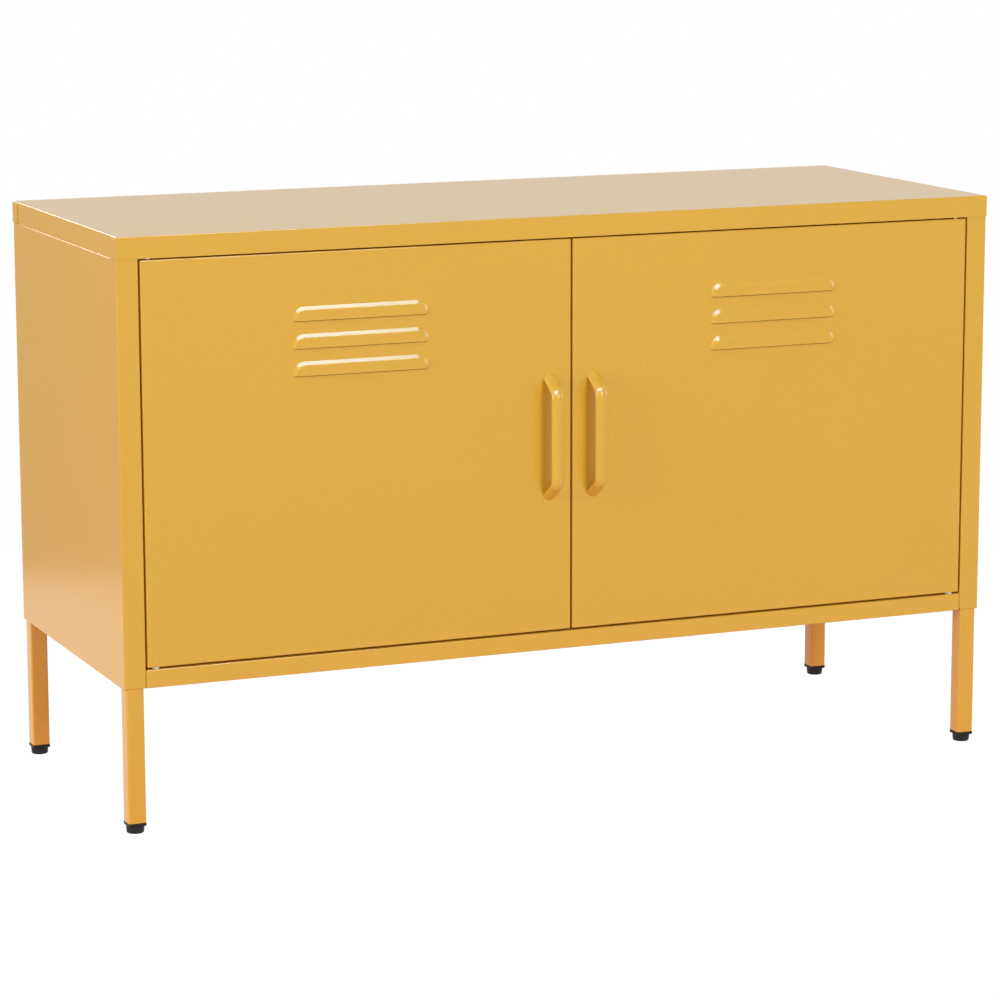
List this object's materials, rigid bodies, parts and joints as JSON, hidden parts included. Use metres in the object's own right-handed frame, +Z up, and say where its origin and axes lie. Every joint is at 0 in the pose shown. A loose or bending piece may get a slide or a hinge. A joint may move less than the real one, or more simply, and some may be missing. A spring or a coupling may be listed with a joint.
{
  "type": "steel storage cabinet",
  "caption": "Low folded-steel storage cabinet on square legs, with hinged louvred doors, bow handles, a lift-out shelf and levelling feet.",
  "frame": {"origin": "on the floor, at the middle of the whole object's footprint, handles included", "axes": "+X to the right seen from the front, +Y from the doors towards the back, +Z up"},
  "size_m": [1.05, 0.426, 0.65],
  "materials": {
    "painted_steel": "satin mustard-yellow powder coat",
    "black_plastic": "moulded black plastic",
    "white_nylon": "white nylon",
    "zinc_steel": "bright zinc plating",
    "black_magnet": "black magnet housing"
  },
  "bodies": {
    "carcass": {"top_panel": "painted_steel", "floor_panel": "painted_steel", "back_panel": "painted_steel", "side_panel_left": "painted_steel", "leg_front_left": "painted_steel", "foot_insert_front_left": "black_plastic", "leg_screw_front_left": "zinc_steel", "top_screw_front_left": "zinc_steel", "shelf_clip_front_left": "zinc_steel", "leg_rear_left": "painted_steel", "foot_insert_rear_left": "black_plastic", "leg_screw_rear_left": "zinc_steel", "top_screw_rear_left": "zinc_steel", "shelf_clip_rear_left": "zinc_steel", "back_screw_left_middle": "zinc_steel", "back_screw_left_top": "zinc_steel", "back_screw_left_bottom": "zinc_steel", "hinge_pin_bottom_left": "zinc_steel", "hinge_washer_left": "white_nylon", "magnet_left": "black_magnet", "side_panel_right": "painted_steel", "leg_front_right": "painted_steel", "foot_insert_front_right": "black_plastic", "leg_screw_front_right": "zinc_steel", "top_screw_front_right": "zinc_steel", "shelf_clip_front_right": "zinc_steel", "leg_rear_right": "painted_steel", "foot_insert_rear_right": "black_plastic", "leg_screw_rear_right": "zinc_steel", "top_screw_rear_right": "zinc_steel", "shelf_clip_rear_right": "zinc_steel", "back_screw_right_middle": "zinc_steel", "back_screw_right_top": "zinc_steel", "back_screw_right_bottom": "zinc_steel", "hinge_pin_bottom_right": "zinc_steel", "hinge_washer_right": "white_nylon", "magnet_right": "black_magnet", "catch_bracket": "painted_steel"},
    "door_left": {"door_left": "painted_steel", "door_stiffener_left": "painted_steel", "handle_left": "painted_steel", "hinge_pin_top_left": "zinc_steel", "handle_screw_left_top": "zinc_steel", "handle_screw_left_bottom": "zinc_steel"},
    "door_right": {"door_right": "painted_steel", "door_stiffener_right": "painted_steel", "handle_right": "painted_steel", "hinge_pin_top_right": "zinc_steel", "handle_screw_right_top": "zinc_steel", "handle_screw_right_bottom": "zinc_steel"},
    "shelf": {"shelf": "painted_steel"},
    "levelling_foot_front_left": {"levelling_foot_front_left": "black_plastic"},
    "levelling_foot_rear_left": {"levelling_foot_rear_left": "black_plastic"},
    "levelling_foot_front_right": {"levelling_foot_front_right": "black_plastic"},
    "levelling_foot_rear_right": {"levelling_foot_rear_right": "black_plastic"}
  },
  "joints": [
    {"name": "door_left_hinge", "type": "hinge", "parent": "carcass", "child": "door_left", "pos_m": [-0.488, -0.17995, 0.1834], "axis": [0, 0, -1], "range_deg": [0, 110]},
    {"name": "door_right_hinge", "type": "hinge", "parent": "carcass", "child": "door_right", "pos_m": [0.488, -0.17995, 0.1834], "axis": [0, 0, 1], "range_deg": [0, 110]},
    {"name": "levelling_front_left", "type": "slide", "parent": "carcass", "child": "levelling_foot_front_left", "axis": [0, 0, -1], "range_m": [0, 0.008]},
    {"name": "levelling_rear_left", "type": "slide", "parent": "carcass", "child": "levelling_foot_rear_left", "axis": [0, 0, -1], "range_m": [0, 0.008]},
    {"name": "levelling_front_right", "type": "slide", "parent": "carcass", "child": "levelling_foot_front_right", "axis": [0, 0, -1], "range_m": [0, 0.008]},
    {"name": "levelling_rear_right", "type": "slide", "parent": "carcass", "child": "levelling_foot_rear_right", "axis": [0, 0, -1], "range_m": [0, 0.008]},
    {"name": "shelf_lift", "type": "slide", "parent": "carcass", "child": "shelf", "axis": [0, 0, 1], "range_m": [0, 0.015]}
  ]
}
